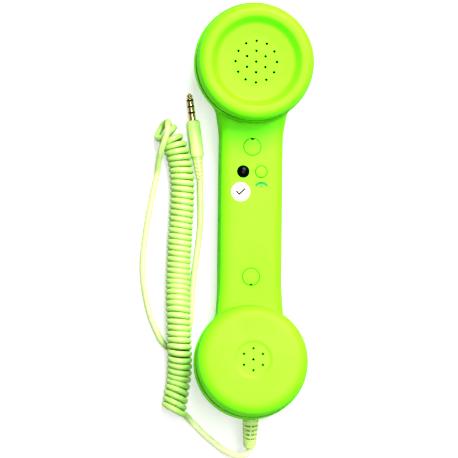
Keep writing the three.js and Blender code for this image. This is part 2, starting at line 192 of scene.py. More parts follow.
def turned(name, outline, segments=128, sharp=35):
    # a closed body of revolution about Z from (radius, height) points in millimetres
    points, faces, rows = [], [], []
    for r, z in outline:
        if r < 1e-6:
            rows.append([len(points)])
            points.append((0.0, 0.0, z * mm))
            continue
        rows.append(range(len(points), len(points) + segments))
        for k in range(segments):
            angle = 2 * math.pi * k / segments
            points.append((r * mm * math.cos(angle), r * mm * math.sin(angle), z * mm))
    closed = len(rows[0]) > 1
    pairs = list(zip(rows, rows[1:])) + ([(rows[-1], rows[0])] if closed else [])
    for low, high in pairs:
        for k in range(segments):
            n = (k + 1) % segments
            a, b = (low[0], low[0]) if len(low) == 1 else (low[k], low[n])
            c, d = (high[0], high[0]) if len(high) == 1 else (high[n], high[k])
            corners = list(dict.fromkeys([a, b, c, d]))
            if len(corners) > 2:
                faces.append(corners)
    piece = meshPiece(name, points, faces)
    markSharp(piece.data, sharp)
    return piece


def placed(piece, matrix):
    piece.data.transform(matrix)
    piece.data.update()
    return piece


def moved(x, y, z=0.0):
    return Matrix.Translation((x * mm, y * mm, z * mm))


# materials

def newMaterial(name):
    material = bpy.data.materials.new(name)
    material.use_nodes = True
    return material, material.node_tree, material.node_tree.nodes["Principled BSDF"]


def addNoise(tree, scale, detail):
    coordinates = tree.nodes.new("ShaderNodeTexCoord")
    noise = addNode(tree, "ShaderNodeTexNoise", {
        "Vector": coordinates.outputs["Object"], "Scale": scale, "Detail": detail, "Roughness": 0.55,
    })
    return noise.outputs["Fac"]


def addRange(tree, source, low, high):
    spread = addNode(tree, "ShaderNodeMapRange", {
        "Value": source, "From Min": 0.3, "From Max": 0.7, "To Min": low, "To Max": high,
    })
    return spread.outputs["Result"]


def addMix(tree, share, first, second):
    mix = addNode(tree, "ShaderNodeMix", {"A": first, "B": second, "Factor": share}, data_type="RGBA")
    return mix.outputs["Result"]


def addBump(tree, height, strength, distance):
    bump = addNode(tree, "ShaderNodeBump", {"Height": height, "Strength": strength, "Distance": distance})
    return bump.outputs["Normal"]


plasticDefaults = {
    "Specular IOR Level": ("specular", 0.5),
    "Subsurface Weight": ("subsurface", 0.0),
    "Subsurface Scale": ("subsurfaceScale", 0.002),
    "Emission Strength": ("glow", 0.0),
}


def mouldedPlastic(name, settings):
    # satin moulded plastic: a fine eroded grain, a faint flow mottle and uneven gloss
    material, tree, shader = newMaterial(name)
    mottle = addNoise(tree, settings["mottleScale"], 2.0)
    colour = addMix(tree, mottle, (*settings["colour"], 1.0), (*settings["colourDeep"], 1.0))
    # painted light: a lighter colour mixed in where the vertex value "straight" is high
    if "leadPaintedLightColour" in settings:
        run = tree.nodes.new("ShaderNodeAttribute")
        run.attribute_name = "straight"
        colour = addMix(tree, run.outputs["Fac"], colour, (*settings["leadPaintedLightColour"], 1.0))
    gloss = addRange(tree, addNoise(tree, settings["glossScale"], 4.0), *settings["roughness"])
    grain = addNoise(tree, settings["grainScale"], 2.0)
    tree.links.new(colour, shader.inputs["Base Color"])
    tree.links.new(gloss, shader.inputs["Roughness"])
    tree.links.new(addBump(tree, grain, settings["grainStrength"], settings["grainDepth"]), shader.inputs["Normal"])
    shader.inputs["IOR"].default_value = 1.5
    shader.inputs["Subsurface Radius"].default_value = (1.0, 1.0, 0.3)
    shader.inputs["Emission Color"].default_value = (1.0, 1.0, 1.0, 1.0)
    for socket, (key, usual) in plasticDefaults.items():
        shader.inputs[socket].default_value = settings.get(key, usual)
    return material


def turnedMetal(name, settings):
    # plated or bare metal, with faint marks and uneven gloss
    material, tree, shader = newMaterial(name)
    tarnish = addNoise(tree, settings["tarnishScale"], 3.0)
    colour = addMix(tree, tarnish, (*settings["colour"], 1.0), (*settings["colourDeep"], 1.0))
    gloss = addRange(tree, addNoise(tree, settings["smearScale"], 5.0), *settings["roughness"])
    marks = addNoise(tree, settings["markScale"], 2.0)
    tree.links.new(colour, shader.inputs["Base Color"])
    tree.links.new(gloss, shader.inputs["Roughness"])
    tree.links.new(addBump(tree, marks, 0.12, 0.00002), shader.inputs["Normal"])
    shader.inputs["Metallic"].default_value = 1.0
    return material


shellLook = {
    "colour": (0.252, 0.78, 0.026),
    "colourDeep": (0.238, 0.76, 0.022),
    "mottleScale": 35.0,
    "roughness": (0.48, 0.58),
    "glossScale": 60.0,
    "grainScale": 2600.0,
    "grainStrength": 0.22,
    "grainDepth": 0.00004,
    "specular": 0.32,
}
cordLook = {
    "colour": (0.44, 0.63, 0.24),
    "colourDeep": (0.40, 0.60, 0.21),
    "mottleScale": 90.0,
    "roughness": (0.34, 0.46),
    "glossScale": 140.0,
    "grainScale": 3200.0,
    "grainStrength": 0.15,
    "grainDepth": 0.00003,
    "subsurface": 0.25,
    "subsurfaceScale": 0.0015,
    "leadPaintedLightColour": (0.84, 0.90, 0.62),     # painted light on the leads, mixed in by the vertex value "straight"
}
# painted light: a lighter copy of the cord plastic, for the sleeve and the plug's grip and tail, which sit in shade
cordPaintedLightLook = dict(cordLook, colour=(0.66, 0.82, 0.40), colourDeep=(0.62, 0.79, 0.36), roughness=(0.4, 0.52))
blackGlossLook = {
    "colour": (0.002, 0.002, 0.002),
    "colourDeep": (0.004, 0.003, 0.004),
    "mottleScale": 300.0,
    "roughness": (0.08, 0.16),
    "glossScale": 400.0,
    "grainScale": 1500.0,
    "grainStrength": 0.03,
    "grainDepth": 0.00002,
    "specular": 0.14,
}
blackMattLook = {
    "colour": (0.012, 0.012, 0.013),
    "colourDeep": (0.02, 0.02, 0.021),
    "mottleScale": 500.0,
    "roughness": (0.45, 0.6),
    "glossScale": 500.0,
    "grainScale": 4000.0,
    "grainStrength": 0.2,
    "grainDepth": 0.00003,
}
goldLook = {
    "colour": (0.70, 0.56, 0.34),
    "colourDeep": (0.58, 0.45, 0.25),
    "tarnishScale": 700.0,
    "roughness": (0.16, 0.3),
    "smearScale": 900.0,
    "markScale": 5000.0,
}
steelLook = {
    "colour": (0.60, 0.61, 0.63),
    "colourDeep": (0.50, 0.50, 0.52),
    "tarnishScale": 200.0,
    "roughness": (0.25, 0.42),
    "smearScale": 500.0,
    "markScale": 4000.0,
}
stickerLook = {
    "colour": (0.88, 0.88, 0.86),
    "colourDeep": (0.84, 0.84, 0.81),
    "mottleScale": 400.0,
    "roughness": (0.3, 0.42),
    "glossScale": 500.0,
    "grainScale": 2500.0,
    "grainStrength": 0.08,
    "grainDepth": 0.00002,
}
printGreenLook = dict(stickerLook, colour=(0.042, 0.30, 0.075), colourDeep=(0.036, 0.27, 0.065), specular=0.2)
printGreyLook = dict(stickerLook, colour=(0.035, 0.035, 0.035), colourDeep=(0.02, 0.02, 0.02), specular=0.2)
boardLook = dict(blackMattLook, colour=(0.012, 0.15, 0.05), colourDeep=(0.008, 0.10, 0.035), roughness=(0.25, 0.4))
coneLook = dict(blackMattLook, colour=(0.09, 0.09, 0.10), colourDeep=(0.05, 0.05, 0.055), grainDepth=0.0001)
# painted shade: a dark, rough copy of the shell plastic for the dimple floors
dimpleShadeLook = dict(shellLook, colour=(0.14, 0.26, 0.012), colourDeep=(0.11, 0.21, 0.010), roughness=(0.8, 0.9))
clothLook = dict(blackMattLook, colour=(0.02, 0.03, 0.012), colourDeep=(0.01, 0.015, 0.006), roughness=(0.85, 0.95))
floorLook = {
    "colour": (0.30, 0.30, 0.30),
    "colourDeep": (0.285, 0.285, 0.285),
    "glow": 0.65,
    "mottleScale": 4.0,
    "roughness": (0.55, 0.62),
    "glossScale": 6.0,
    "grainScale": 1500.0,
    "grainStrength": 0.03,
    "grainDepth": 0.00002,
}

looks = {
    "shell": mouldedPlastic("lime_satin_plastic", shellLook),
    "cord": mouldedPlastic("pale_lime_cord", cordLook),
    "cordPaintedLight": mouldedPlastic("cord_plastic_painted_light", cordPaintedLightLook),
    "blackGloss": mouldedPlastic("black_gloss_plastic", blackGlossLook),
    "blackMatt": mouldedPlastic("black_matt_plastic", blackMattLook),
    "gold": turnedMetal("gold_plate", goldLook),
    "steel": turnedMetal("zinc_plated_steel", steelLook),
    "sticker": mouldedPlastic("white_label", stickerLook),
    "printGreen": mouldedPlastic("green_print", printGreenLook),
    "printGrey": mouldedPlastic("dark_print", printGreyLook),
    "board": mouldedPlastic("green_board", boardLook),
    "cone": mouldedPlastic("speaker_paper", coneLook),
    "cloth": mouldedPlastic("acoustic_cloth", clothLook),
    "dimplePaintedShade": mouldedPlastic("painted_shade_lime_plastic", dimpleShadeLook),
    "floor": mouldedPlastic("white_sweep", floorLook),
}
print("materials made:", len(looks))


# the cord: lead, curls, loose last turn and the lead to the plug

cordPlan = {
    "length": 1.727,
    "wireRadius": 1.6,
    "curlRadius": 4.9,
    "firstAngle": 50.0,
    "turns": 45,
    "lean": 0.26,          # how much the first turns lean
    "leanTurns": 5.0,      # and over how many it fades
    "endSpread": 0.012,    # the turns lie a little further apart towards both ends
    "clearance": 0.02,     # under the turns that rest on the table
    "paintedLightFade": 12.0,      # points over which the painted light on a lead fades in
    # share of the painted light that the plug lead gets
    "plugLeadPaintedLight": 0.25,
    "stepsPerTurn": 22,
    "sides": 12,
    "looseFrom": -120.0,
    "looseTo": 400.0,
    "looseRadius": 5.3,
}
handsetLead = [
    (1.2, -120.8, 12.7), (1, -122.6, 11.8), (-0.8, -124.3, 10.5), (-3.9, -125, 8.6),
    (-8.2, -123.9, 5.8), (-12.2, -121.8, 3.3), (-16.2, -118.9, 1.9), (-20.6, -115.2, 1.7),
    (-24.6, -111.4, 2), (-27.6, -108.4, 3), (-29.9, -106, 4.8), (-31.7, -104.2, 7.2),
]
coilAxis = [
    (-37.6, -101.8, 6.7), (-36.6, -95, 6.7), (-35.3, -86.6, 6.7), (-34.9, -79.5, 8.1),
    (-35.1, -72, 9.9), (-35.6, -63, 10.1), (-35.9, -54, 9.9), (-36.1, -45, 8.3),
    (-36.1, -37, 6.9), (-35.9, -26, 6.7), (-35.4, -14, 6.7), (-34.8, -2, 6.7),
    (-34.4, 9, 6.7), (-34.8, 19, 6.7), (-36.5, 28, 6.7), (-39, 35, 6.7),
    (-41.2, 38.6, 6.7),
]
looseTurnCentres = [(-42.0, 40.1, 6.7), (-45.4, 43.0, 6.7)]
looseTurnAxes = [(-0.6, 0.8, 0.0), (-0.72, 0.45, 0.45)]
plugLead = [
    (-42.8, 45.2, 13.4), (-42.9, 41.4, 15.2), (-44.3, 36.6, 14.1), (-46.0, 31.4, 10.9),
    (-46.9, 26.6, 6.5), (-47.2, 21, 2.4), (-48.2, 15.6, 1.7), (-49.3, 10.4, 1.7),
    (-50.9, 1.5, 1.7), (-52.2, -6.5, 1.7), (-53.3, -15, 1.7), (-54.1, -24, 1.7),
    (-53.9, -33.5, 1.7), (-52.7, -41.5, 1.7), (-51.2, -49, 1.7), (-49.2, -55.5, 1.7),
    (-46.6, -61.5, 1.7), (-43.6, -67, 1.7), (-39.4, -70.4, 1.7), (-34.6, -69.6, 1.7),
    (-31.2, -64.8, 1.7), (-29.4, -57, 1.7), (-28.6, -47, 1.7), (-28, -37, 1.7),
    (-27, -27, 1.7), (-25.7, -17, 1.7), (-24.7, -7, 1.7), (-24.6, 2, 2),
    (-24.9, 10, 3), (-25.05, 17.4, 3.8),
]


def smoothThrough(knots, spacing):
    # evenly spaced points along a centripetal curve through the knots
    knots = np.array(knots, dtype=float)
    knots = np.vstack([2 * knots[0] - knots[1], knots, 2 * knots[-1] - knots[-2]])
    fine = []
    for i in range(len(knots) - 3):
        p = knots[i:i + 4]
        t = np.concatenate([[0], np.cumsum(np.sqrt(np.linalg.norm(np.diff(p, axis=0), axis=1)))])
        for u in np.linspace(t[1], t[2], 24, endpoint=False):
            a = [(t[k + 1] - u) / (t[k + 1] - t[k]) * p[k] + (u - t[k]) / (t[k + 1] - t[k]) * p[k + 1]
                 for k in range(3)]
            b = [(t[k + 2] - u) / (t[k + 2] - t[k]) * a[k] + (u - t[k]) / (t[k + 2] - t[k]) * a[k + 1]
                 for k in range(2)]
            fine.append((t[2] - u) / (t[2] - t[1]) * b[0] + (u - t[1]) / (t[2] - t[1]) * b[1])
    fine.append(knots[-2])
    fine = np.array(fine)
    along = np.concatenate([[0], np.cumsum(np.linalg.norm(np.diff(fine, axis=0), axis=1))])
    count = max(int(round(along[-1] / spacing)), 2)
    marks = np.linspace(0, along[-1], count + 1)
    return np.stack([np.interp(marks, along, fine[:, k]) for k in range(3)], axis=1)


def curls():
    # the wound turns, round the coil's axis
    axis = smoothThrough(coilAxis, 0.5)
    ahead = np.gradient(axis, axis=0)
    ahead /= np.linalg.norm(ahead, axis=1)[:, None]
    side = np.cross(ahead, [0.0, 0.0, 1.0])
    side /= np.linalg.norm(side, axis=1)[:, None]
    up = np.cross(side, ahead)
    first = cordPlan["firstAngle"]
    total = cordPlan["turns"] * 360.0 + 360.0 + cordPlan["looseFrom"] - first
    count = int(total / 360.0 * cordPlan["stepsPerTurn"])
    points = []
    for k in range(count + 1):
        share = k / count
        eased = share + cordPlan["endSpread"] * math.sin(2 * math.pi * share)
        at = eased * (len(axis) - 1)
        i = min(int(at), len(axis) - 2)
        centre = axis[i] + (axis[i + 1] - axis[i]) * (at - i)
        angle = math.radians(first + share * total)
        radius = cordPlan["curlRadius"] * (1 + 0.012 * math.sin(17.0 * share * math.pi))
        radius = min(radius, centre[2] - cordPlan["wireRadius"] - cordPlan["clearance"])
        fade = max(1.0 - share * cordPlan["turns"] / cordPlan["leanTurns"], 0.0)
        lean = cordPlan["lean"] * fade * math.cos(angle) * radius
        points.append(centre + radius * (math.cos(angle) * side[i] + math.sin(angle) * up[i]) - lean * ahead[i])
    return points


def looseTurn():
    # the last turn, which has sprung open and leans over
    low, high = cordPlan["looseFrom"], cordPlan["looseTo"]
    count = int((high - low) / 360.0 * cordPlan["stepsPerTurn"])
    centres = np.array(looseTurnCentres)
    axes = np.array(looseTurnAxes)
    points = []
    for k in range(1, count + 1):
        share = k / count
        centre = centres[0] + (centres[1] - centres[0]) * share
        ahead = axes[0] + (axes[1] - axes[0]) * share
        ahead /= np.linalg.norm(ahead)
        side = np.cross(ahead, [0.0, 0.0, 1.0])
        side /= np.linalg.norm(side)
        up = np.cross(side, ahead)
        angle = math.radians(low + (high - low) * share)
        radius = cordPlan["curlRadius"] + (cordPlan["looseRadius"] - cordPlan["curlRadius"]) * share
        radius = min(radius, centre[2] - cordPlan["wireRadius"] - cordPlan["clearance"])
        points.append(centre + radius * (math.cos(angle) * side + math.sin(angle) * up))
    return points


def joined(*runs):
    # one run of points, with a short curve over each join
    points = [np.array(runs[0])]
    for run in runs[1:]:
        before, after = points[-1], np.array(run)
        bridge = smoothThrough([before[-6], before[-1], after[0], after[5]], 1.0)
        first = np.argmin(np.linalg.norm(bridge - before[-1], axis=1))
        last = np.argmin(np.linalg.norm(bridge - after[0], axis=1))
        points += [bridge[first + 1:last], after]
    return np.vstack(points)


def sweepTube(name, path, radius, sides):
    # a round tube along the path, its ends closed
    ahead = np.gradient(path, axis=0)
    ahead /= np.linalg.norm(ahead, axis=1)[:, None]
    across = np.cross(ahead[0], [0.0, 0.0, 1.0])
    points, faces = [], []
    for i, (centre, forward) in enumerate(zip(path, ahead)):
        across = across - forward * (across @ forward)
        across /= np.linalg.norm(across)
        over = np.cross(forward, across)
        for k in range(sides):
            angle = 2 * math.pi * k / sides
            points.append((centre + radius * (math.cos(angle) * across + math.sin(angle) * over)) * mm)
        if i:
            for k in range(sides):
                n = (k + 1) % sides
                a, b = (i - 1) * sides + k, (i - 1) * sides + n
                faces.append([a, b, b + sides, a + sides])
    faces.append(list(range(sides))[::-1])
    faces.append(list(range(len(points) - sides, len(points))))
    return meshPiece(name, points, faces)


def makeCord():
    lead = smoothThrough(handsetLead, 0.8)
    tail = smoothThrough(plugLead, 0.8)
    path = joined(lead, curls() + looseTurn(), tail)
    length = float(np.linalg.norm(np.diff(path, axis=0), axis=1).sum())
    print("cord centreline:", round(length), "mm")
    cord = sweepTube("curly_cord", path, cordPlan["wireRadius"], cordPlan["sides"])
    # the share of painted light at each vertex, kept as "straight": full along the handset lead, less along the plug
    # lead, 0 in the wound turns
    straight = cord.data.attributes.new("straight", "FLOAT", "POINT")
    firstRun, lastRun = len(lead), len(path) - len(tail)
    for i in range(len(path)):
        away = max(firstRun - i, i - lastRun, 0)
        share = min(away / cordPlan["paintedLightFade"], 1.0) * (1.0 if i < firstRun else cordPlan["plugLeadPaintedLight"])
        for k in range(cordPlan["sides"]):
            straight.data[i * cordPlan["sides"] + k].value = share
    dress(cord, looks["cord"], "handset", "cord_lime", "cord_lead_handset", "cord_coil", "cord_lead_plug")
    return cord, path


cord, cordPath = makeCord()
print("cord made")


# the two shells: a grip that swells into a cup at each end

shellPlan = {
    "around": 144,
    "blend": 4.0,          # how far the neck melts into each cup, low down
    "faceBlend": 1.6,      # and up at its face
    "faceSquareness": 6.0,
    "backSquareness": 3.2,
    "straight": 0.36,      # share of a cup's depth that is straight wall
    "rimExtra": 5.0,       # wall built above the seam, then cut off
}


def ramp(value, low, high):
    t = np.clip((value - low) / (high - low), 0.0, 1.0)
    return t * t * (3 - 2 * t)


def between(low, high, share):
    return low + (high - low) * share


def gripDistance(x, y, z):
    # about how far a point is outside the grip
    reach = np.abs(y)
    neck = np.where(y > 0, earCup["neckHalfWidth"], mouthCup["neckHalfWidth"])
    width = between(handset["gripHalfWidth"], neck, ramp(reach, 36, 62))
    face = handset["gripFaceZ"]
    back = between(-handset["restCut"], handset["neckBackZ"], ramp(reach, 26, 66))
    waist = (face + back) / 2
    height = (face - back) / 2
    power = np.where(z > waist, shellPlan["faceSquareness"], shellPlan["backSquareness"])
    size = ((np.abs(x) / width) ** power + (np.abs(z - waist) / height) ** power) ** (1 / power)
    return np.maximum((size - 1) * height, reach - 68)


def cupDistance(x, y, z, cup):
    # about how far a point is outside a cup's bowl
    tilt = math.radians(cup["tilt"])
    dy, dz = y - cup["y"], z - cup["seamZ"]
    along = dy * math.cos(tilt) + dz * math.sin(tilt)
    height = -dy * math.sin(tilt) + dz * math.cos(tilt)
    out = np.sqrt(x * x + along * along)
    straight = shellPlan["straight"] * cup["depth"]
    below = np.maximum(-height - straight, 0.0) / (cup["depth"] - straight)
    size = ((out / cup["cupRadius"]) ** 3.226 + below ** 2) ** (1 / 3.226)
    size = np.where(below > 0, size, out / cup["cupRadius"])
    return np.maximum((size - 1) * cup["cupRadius"], height - shellPlan["rimExtra"])


def bodyDistance(x, y, z):
    grip = gripDistance(x, y, z)
    cups = np.minimum(cupDistance(x, y, z, earCup), cupDistance(x, y, z, mouthCup))
    blend = between(shellPlan["blend"], shellPlan["faceBlend"], ramp(z, 15, 23))
    near = np.maximum(blend - np.abs(grip - cups), 0.0) / blend
    return np.minimum(grip, cups) - near * near * blend / 4


def bodyStations():
    # where the body is sliced, closer together where it turns quickly
    stations = list(np.linspace(-42, 42, 64))
    for cup, side in ((earCup, 1), (mouthCup, -1)):
        centre = side * cup["y"]
        start = centre - cup["cupRadius"] - 3
        neck = np.arange(42 + 1.2, start, 1.2)
        foot = np.arange(start, start + 10, 0.35)
        stations += [side * y for y in np.concatenate([neck, foot])]
        tip = cup["cupRadius"] + (cup["depth"] * shellPlan["straight"]) * math.sin(math.radians(abs(cup["tilt"])))
        low = math.asin((start + 10 - centre) / tip)
        for angle in np.linspace(low, math.radians(88.2), 76):
            stations.append(side * (centre + tip * math.sin(angle)))
    return np.array(sorted(stations))


def bodySkin(name):
    # the closed outside of the handset, before it is parted
    stations = bodyStations()
    count = shellPlan["around"]
    angles = (np.arange(count) + 0.5) * 2 * math.pi / count
    reach = np.abs(stations)
    heartEar = earCup["seamZ"] - shellPlan["straight"] * earCup["depth"]
    heartMouth = mouthCup["seamZ"] - shellPlan["straight"] * mouthCup["depth"]
    ends = np.where(stations > 0, heartEar, heartMouth)
    heart = between(12.3, ends, ramp(reach, 42, 92))
    y = np.repeat(stations[:, None], count, axis=1)
    c, s = np.cos(angles)[None, :], np.sin(angles)[None, :]
    low = np.zeros_like(y)
    high = np.full_like(y, 60.0)
    for _ in range(34):
        middle = (low + high) / 2
        inside = bodyDistance(middle * c, y, heart[:, None] + middle * s) < 0
        low = np.where(inside, middle, low)
        high = np.where(inside, high, middle)
    x, z = low * c, np.maximum(heart[:, None] + low * s, 0.0)
    points = np.stack([x, y, z], axis=2).reshape(-1, 3)
    faces = []
    rows = len(stations)
    for i in range(rows - 1):
        for k in range(count):
            n = (k + 1) % count
            faces.append([i * count + k, (i + 1) * count + k, (i + 1) * count + n, i * count + n])
    first = len(points)
    poles = [(0.0, stations[0] - 0.02, heart[0]), (0.0, stations[-1] + 0.02, heart[-1])]
    points = np.vstack([points, poles])
    for k in range(count):
        n = (k + 1) % count
        faces.append([k, n, first])
        faces.append([(rows - 1) * count + n, (rows - 1) * count + k, first + 1])
    return meshPiece(name, points * mm, faces)


bodySolid = bodySkin("body_skin")
print("body skin:", len(bodySolid.data.polygons), "faces")


def cutAt(bm, point, normal, keepBelow=False, keepAbove=False, where=None):
    # slices the mesh at a plane, and drops a side of it where that is asked for
    faces = [f for f in bm.faces if where is None or where(f.calc_center_median() / mm)]
    verts = {v for f in faces for v in f.verts}
    edges = {e for f in faces for e in f.edges}
    bmesh.ops.bisect_plane(
        bm, geom=list(verts) + list(edges) + faces, dist=1e-7,
        plane_co=Vector(point) * mm, plane_no=Vector(normal), clear_outer=keepBelow, clear_inner=keepAbove,
    )


def easeRim(bm, cup, depth, amount):
    # rounds a cup's rim inwards over the last bit below its seam
    inverse = cupMatrix(cup).inverted()
    forward = cupMatrix(cup)
    for v in bm.verts:
        local = inverse @ v.co / mm
        out = math.hypot(local.x, local.y)
        if -depth < local.z < 0.5 and abs(out - cup["cupRadius"]) < 2.5:
            share = min(1 + local.z / depth, 1)
            scale = (out - amount * share ** 2.5) / out
            v.co = forward @ (Vector((local.x * scale, local.y * scale, local.z)) * mm)


def easeParting(bm, edgeZ, side, depth, amount):
    # a small rounded edge along the parting line
    for v in bm.verts:
        away = (v.co.z / mm - edgeZ) * side
        if -0.01 <= away < depth:
            pull = amount * (1 - away / depth) ** 2
            flat = Vector((v.normal.x, v.normal.y, 0))
            if flat.length > 0.2:
                v.co -= flat.normalized() * pull * mm


shellEdges = {
    "partingCuts": (0.18, 0.4), "partingDepth": 0.4, "partingAmount": 0.14,
    "rimCuts": (1.0, 0.6, 0.3), "rimDepth": 0.7, "rimAmount": 0.2,
    "beyondCup": 6, "aboveFace": 26,     # where a rim's cuts may act
}


def trimRim(bm, cup, side):
    # cuts the skin off at a cup's seam, with its rim eased
    tilt = math.radians(cup["tilt"])
    normal = (0, -math.sin(tilt), math.cos(tilt))
    reach = abs(cup["y"]) - cup["cupRadius"] - shellEdges["beyondCup"]
    around = lambda c: c.y * side > reach and c.z > shellEdges["aboveFace"]
    for below in shellEdges["rimCuts"]:
        point = (0, cup["y"] + normal[1] * -below, cup["seamZ"] + normal[2] * -below)
        cutAt(bm, point, normal, where=around)
    cutAt(bm, (0, cup["y"], cup["seamZ"]), normal, keepBelow=True, where=around)
    easeRim(bm, cup, shellEdges["rimDepth"], shellEdges["rimAmount"])


def shellHalf(name, front):
    # one shell: the skin above or below the parting line, given its wall
    piece = newObject(name, bodySolid.data.copy())
    bm = bmesh.new()
    bm.from_mesh(piece.data)
    side = 1 if front else -1
    edge = handset["partingZ"] + side * handset["gap"] / 2
    for extra in shellEdges["partingCuts"]:
        cutAt(bm, (0, 0, edge + side * extra), (0, 0, 1))
    cutAt(bm, (0, 0, edge), (0, 0, 1), keepAbove=front, keepBelow=not front)
    if front:
        trimRim(bm, earCup, 1)
        trimRim(bm, mouthCup, -1)
    bm.normal_update()
    easeParting(bm, edge, side, shellEdges["partingDepth"], shellEdges["partingAmount"])
    bm.to_mesh(piece.data)
    bm.free()
    wall = piece.modifiers.new("wall", "SOLIDIFY")
    wall.thickness = handset["wall"] * mm
    wall.offset = -1
    return flatten(piece)


def combine(piece, other, operation):
    change = piece.modifiers.new("change", "BOOLEAN")
    change.operation = operation
    change.solver = "MANIFOLD"
    change.object = other
    flatten(piece)
    bpy.data.objects.remove(other)
    return piece


def joinPieces(name, parts):
    bm = bmesh.new()
    for part in parts:
        bm.from_mesh(part.data)
        bpy.data.objects.remove(part)
    mesh = bpy.data.meshes.new(name)
    bm.to_mesh(mesh)
    bm.free()
    return newObject(name, mesh)


pocketPlan = {
    "outer": 5.8, "foot": 17.2, "seat": 20.4, "keyFoot": 20.0,
    "coverRadius": 4.3, "clearance": 0.25, "buttonRadius": 2.9, "buttonSpots": (4.7, -4.55), "edge": 0.16,
}
reliefPlan = {"x": 1.2, "y": -105.2, "z": 19.0, "droop": 22.0, "hole": 3.8}


def reliefMatrix():
    turn = Matrix.Rotation(math.radians(90 + reliefPlan["droop"]), 4, "X")
    return Matrix.Translation((reliefPlan["x"] * mm, reliefPlan["y"] * mm, reliefPlan["z"] * mm)) @ turn


def holeCutter(radius, foot, x, y, sides=96):
    # a plunge cutter whose mouth opens a little, so the hole's edge is eased
    face, edge = handset["gripFaceZ"], pocketPlan["edge"]
    outline = [
        (0, foot), (radius, foot), (radius, face - edge), (radius + 0.3 * edge, face - 0.4 * edge),
        (radius + edge, face + 0.02), (radius + edge, face + 3), (0, face + 3),
    ]
    return placed(turned("cutter", outline, sides), moved(x, y))


def makeShells():
    front = shellHalf("front_shell_moulding", True)
    posts = []
    for side in (1, -1):
        outline = [
            (0, pocketPlan["foot"]), (pocketPlan["outer"], pocketPlan["foot"]), (pocketPlan["outer"], 24), (0, 24),
        ]
        posts.append(placed(turned("post", outline, 48), moved(0, side * handset["screwY"])))
    combine(front, joinPieces("posts", posts), "UNION")
    cutters = []
    for side in (1, -1):
        cover = pocketPlan["coverRadius"] + pocketPlan["clearance"]
        cutters.append(holeCutter(cover, pocketPlan["seat"], 0, side * handset["screwY"]))
    for x in pocketPlan["buttonSpots"]:
        key = pocketPlan["buttonRadius"] + pocketPlan["clearance"]
        cutters.append(holeCutter(key, pocketPlan["keyFoot"], x, handset["buttonY"]))
    combine(front, joinPieces("cutters", cutters), "DIFFERENCE")
    rear = shellHalf("rear_shell_moulding", False)
    for shell in (front, rear):
        outline = [(0, -9), (reliefPlan["hole"], -9), (reliefPlan["hole"], 9), (0, 9)]
        combine(shell, placed(turned("cutter", outline, 64), reliefMatrix()), "DIFFERENCE")
        markSharp(shell.data, 32)
    dress(front, looks["shell"], "handset", "shell_lime", "front_shell")
    dress(rear, looks["shell"], "handset", "shell_lime", "rear_shell")
    bpy.data.objects.remove(bodySolid)
    print("shells made:", len(front.data.polygons), len(rear.data.polygons), "faces")


makeShells()


# perforations: a tree that lays rings of drill bits

def newTree(name, inputs):
    # an empty tree with named inputs; returns it with what it is given, its end and its socket names
    tree = bpy.data.node_groups.new(name, "GeometryNodeTree")
    sockets = {}
    for label, kind, value in inputs:
        socket = tree.interface.new_socket(label, in_out="INPUT", socket_type="NodeSocket" + kind)
        socket.default_value = value
        sockets[label] = socket.identifier
    tree.interface.new_socket("Geometry", in_out="OUTPUT", socket_type="NodeSocketGeometry")
    start = tree.nodes.new("NodeGroupInput")
    end = tree.nodes.new("NodeGroupOutput")
    return tree, start.outputs, end, sockets


def finishTree(tree, geometry, end, material):
    real = addNode(tree, "GeometryNodeRealizeInstances", {"Geometry": geometry})
    paint = addNode(tree, "GeometryNodeSetMaterial", {"Geometry": real.outputs["Geometry"], "Material": material})
    tree.links.new(paint.outputs["Geometry"], end.inputs["Geometry"])


def growMesh(name, tree, sockets, values):
    # the tree's result with these input values, as a plain mesh object
    holder = newObject(name, bpy.data.meshes.new(name))
    modifier = holder.modifiers.new("growth", "NODES")
    modifier.node_group = tree
    for label, value in values.items():
        modifier[sockets[label]] = value
    return flatten(holder)


def perforationTree():
    tree, given, end, sockets = newTree("perforations", [
        ("Hole radius", "Float", 0.00066),
        ("Depth", "Float", 0.009),
        ("Inner count", "Int", 6),
        ("Inner radius", "Float", 0.0054),
        ("Outer count", "Int", 12),
        ("Outer radius", "Float", 0.0105),
        ("Centre count", "Int", 1),
    ])
    bit = addNode(tree, "GeometryNodeMeshCylinder", {
        "Vertices": 24, "Radius": given["Hole radius"], "Depth": given["Depth"],
    })
    join = tree.nodes.new("GeometryNodeJoinGeometry")
    for ring in ("Inner", "Outer"):
        circle = addNode(tree, "GeometryNodeMeshCircle", {
            "Vertices": given[ring + " count"], "Radius": given[ring + " radius"],
        })
        tree.links.new(circle.outputs["Mesh"], join.inputs["Geometry"])
    spots = addNode(tree, "GeometryNodeMeshToPoints", {"Mesh": join.outputs["Geometry"]})
    middle = addNode(tree, "GeometryNodePoints", {"Count": given["Centre count"]})
    every = tree.nodes.new("GeometryNodeJoinGeometry")
    for group in (spots, middle):
        tree.links.new(group.outputs["Points"], every.inputs["Geometry"])
    turn = addNode(tree, "GeometryNodeTransform", {
        "Geometry": every.outputs["Geometry"], "Rotation": (0.0, 0.0, math.pi / 2),
    })
    place = addNode(tree, "GeometryNodeInstanceOnPoints", {
        "Points": turn.outputs["Geometry"], "Instance": bit.outputs["Mesh"],
    })
    finishTree(tree, place.outputs["Instances"], end, looks["shell"])
    return tree, sockets


perforations, perforationSockets = perforationTree()


def perforate(cap, height, values):
    bits = growMesh("drill_bits", perforations, perforationSockets, values)
    placed(bits, moved(0, 0, height))
    return combine(cap, bits, "DIFFERENCE")


# ear cap: a rounded shoulder round a dish, with nineteen holes

earCapPlan = {
    "height": 12.8, "crest": 25.0, "shoulderFoot": 4.5,
    "dishEdge": 22.7, "dishFoot": 19.8, "dishDepth": 3.5, "floorDrop": 0.5, "flat": 13.0,
    "wall": 2.0,
}


